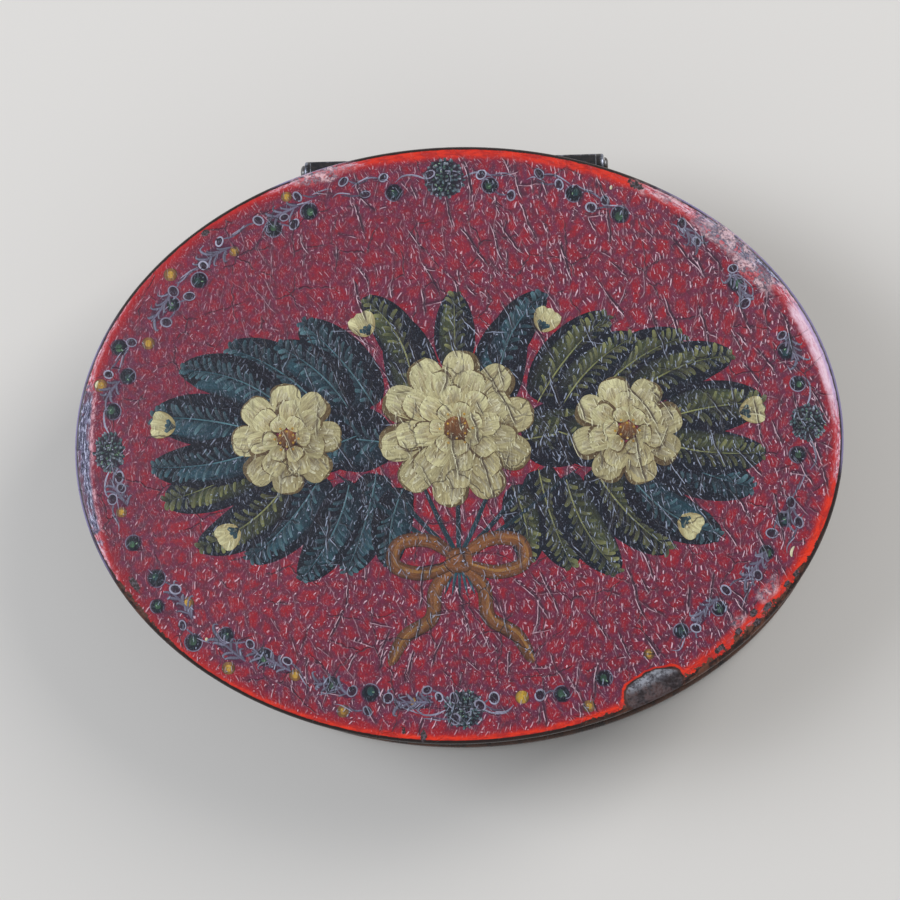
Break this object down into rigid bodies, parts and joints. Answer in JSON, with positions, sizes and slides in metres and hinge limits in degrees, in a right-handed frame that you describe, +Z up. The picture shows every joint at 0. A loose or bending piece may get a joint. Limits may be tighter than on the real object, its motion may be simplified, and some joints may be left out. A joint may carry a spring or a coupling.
{
  "type": "oval hinged snuff box",
  "caption": "Small oval lacquered tin box with a domed red lid on a straight back hinge, a folded foot band and a lining collar that guides the lid.",
  "frame": {"origin": "on the surface the box stands on, under the middle of its bounding box", "axes": "+Z up out of the lid, +X along the long axis and the hinge, +Y towards the hinge at the back, so the box opens at its -Y front"},
  "size_m": [0.086, 0.0672, 0.0223],
  "materials": {
    "red_lacquer": "crimson lacquer under a dark crackled varnish, painted with a garland, worn to orange at the rim and chipped to bare tin",
    "black_japan": "glossy black-brown japan, rubbed brown along its edges",
    "tin_lining": "dull tinned sheet, grey with brown stains",
    "hinge_metal": "blackened metal with worn bright edges",
    "pin_iron": "dark iron, polished at the peened ends"
  },
  "bodies": {
    "body": {"base_plate": "black_japan", "body_wall": "black_japan", "inner_collar": "tin_lining", "body_hinge_bearer": "hinge_metal", "body_knuckle_1": "hinge_metal", "body_knuckle_3": "hinge_metal", "body_knuckle_5": "hinge_metal", "body_knuckle_7": "hinge_metal", "hinge_pin": "pin_iron"},
    "lid": {"lid_plate": "red_lacquer", "lid_skirt": "black_japan", "lid_hinge_bearer": "hinge_metal", "lid_knuckle_2": "hinge_metal", "lid_knuckle_4": "hinge_metal", "lid_knuckle_6": "hinge_metal"}
  },
  "joints": [
    {"name": "lid_hinge", "type": "hinge", "parent": "body", "child": "lid", "pos_m": [0, 0.03195, 0.0155], "axis": [-1, 0, 0], "range_deg": [0, 110]}
  ]
}
